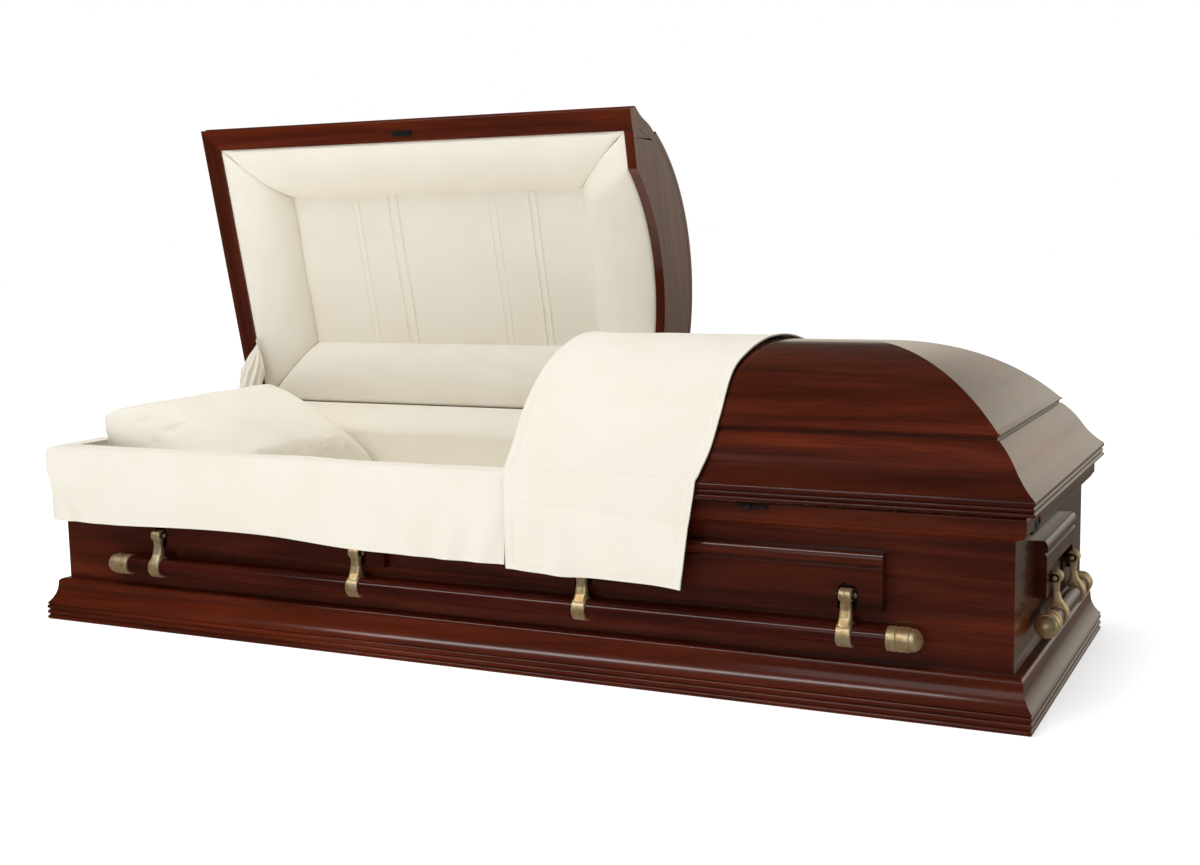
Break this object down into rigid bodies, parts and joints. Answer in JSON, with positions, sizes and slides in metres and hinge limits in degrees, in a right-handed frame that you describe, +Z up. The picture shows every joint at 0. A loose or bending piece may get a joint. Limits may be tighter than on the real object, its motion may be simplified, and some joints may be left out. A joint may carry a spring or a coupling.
{
  "type": "funeral casket",
  "caption": "Half-couch hardwood casket with a coved plinth, domed hipped lids hinged at the back, swing-bar handles, and a cream upholstered interior with pillow, apron and throw.",
  "frame": {"origin": "centre of the bottom board's underside, on the floor", "axes": "+X to the foot end along the length, +Y to the back with the hinges, +Z up"},
  "size_m": [2.154, 0.9377, 1.0932],
  "materials": {
    "wood": "semi-gloss red-brown lacquer",
    "bar_wood": "dark semi-gloss lacquer",
    "cloth": "soft matte crepe",
    "brass": "brushed antique",
    "bronze": "dark lacquered",
    "black_metal": "satin black"
  },
  "bodies": {
    "casket": {"bottom_board": "wood", "front_board": "wood", "back_board": "wood", "head_board": "wood", "foot_board": "wood", "front_plinth": "wood", "back_plinth": "wood", "head_plinth": "wood", "foot_plinth": "wood", "front_rail": "wood", "back_rail": "wood", "head_rail": "wood", "foot_rail": "wood", "front_panel_head": "wood", "front_panel_foot": "wood", "back_panel_head": "wood", "back_panel_foot": "wood", "head_end_panel": "wood", "foot_end_panel": "wood", "front_ears": "bronze", "back_ears": "bronze", "head_ears": "bronze", "foot_ears": "bronze", "mattress": "cloth", "pillow": "cloth", "wall_lining": "cloth", "apron": "cloth", "stay_cover": "cloth", "head_hinge_knuckles": "brass", "foot_hinge_knuckles": "brass", "front_latch": "black_metal", "lock_plate": "black_metal"},
    "head_lid": {"head_lid_front": "wood", "head_lid_back": "wood", "head_lid_end": "wood", "head_lid_dome": "wood", "head_lid_hip": "wood", "head_lid_header": "wood", "head_lid_puff": "cloth", "head_lid_cap_panel": "cloth", "head_lid_hinge_leaves": "brass", "head_lid_keeper": "black_metal"},
    "foot_lid": {"foot_lid_front": "wood", "foot_lid_back": "wood", "foot_lid_end": "wood", "foot_lid_dome": "wood", "foot_lid_hip": "wood", "foot_lid_header": "wood", "foot_lid_lining": "cloth", "foot_lid_hinge_leaves": "brass", "throw": "cloth"},
    "front_handle": {"front_bar": "bar_wood", "front_bar_brass": "brass"},
    "back_handle": {"back_bar": "bar_wood", "back_bar_brass": "brass"},
    "head_handle": {"head_bar": "bar_wood", "head_bar_brass": "brass"},
    "foot_handle": {"foot_bar": "bar_wood", "foot_bar_brass": "brass"}
  },
  "joints": [
    {"name": "head_lid_hinge", "type": "hinge", "parent": "casket", "child": "head_lid", "pos_m": [0, 0.3755, 0.3575], "axis": [1, 0, 0], "range_deg": [0, 77.7], "deforming": ["stay_cover", "pillow", "apron"]},
    {"name": "foot_lid_hinge", "type": "hinge", "parent": "casket", "child": "foot_lid", "pos_m": [0, 0.3755, 0.3575], "axis": [1, 0, 0], "range_deg": [-77.7, 0]},
    {"name": "front_handle_hinge", "type": "hinge", "parent": "casket", "child": "front_handle", "pos_m": [0, -0.3595, 0.207], "axis": [-1, 0, 0], "range_deg": [0, 85], "deforming": ["throw"]},
    {"name": "back_handle_hinge", "type": "hinge", "parent": "casket", "child": "back_handle", "pos_m": [0, 0.3595, 0.207], "axis": [1, 0, 0], "range_deg": [0, 85]},
    {"name": "head_handle_hinge", "type": "hinge", "parent": "casket", "child": "head_handle", "pos_m": [-1.054, 0, 0.207], "axis": [0, 1, 0], "range_deg": [0, 85]},
    {"name": "foot_handle_hinge", "type": "hinge", "parent": "casket", "child": "foot_handle", "pos_m": [1.054, 0, 0.207], "axis": [0, -1, 0], "range_deg": [0, 85]}
  ]
}
